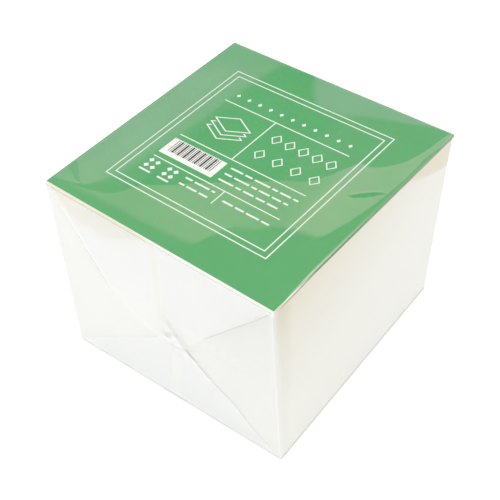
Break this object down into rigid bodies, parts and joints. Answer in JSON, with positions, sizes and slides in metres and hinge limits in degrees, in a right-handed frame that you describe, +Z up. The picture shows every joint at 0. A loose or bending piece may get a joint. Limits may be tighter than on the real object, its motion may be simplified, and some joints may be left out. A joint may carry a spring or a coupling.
{
  "type": "memo block",
  "caption": "Square block of loose plain memo sheets under a green printed label card, wrapped in clear film that is folded over two opposite ends.",
  "frame": {"origin": "centre of the flat base, where the lap seam of the film meets the table", "axes": "+Z up, the film tube runs along Y, so -Y and +Y are the folded ends and -X and +X the plain sides"},
  "size_m": [0.101, 0.1011, 0.0785],
  "materials": {
    "sheet_paper": "matt, cut edges of plain white sheets",
    "card_board": "smooth white card",
    "green_ink": "flat green print on smooth card",
    "black_ink": "flat black print on smooth card",
    "clear_film": "clear glossy polypropylene film"
  },
  "bodies": {
    "root": {"sheet_block": "sheet_paper", "label_card": "card_board", "green_print": "green_ink", "black_print": "black_ink", "film_wrap": "clear_film"}
  },
  "joints": []
}
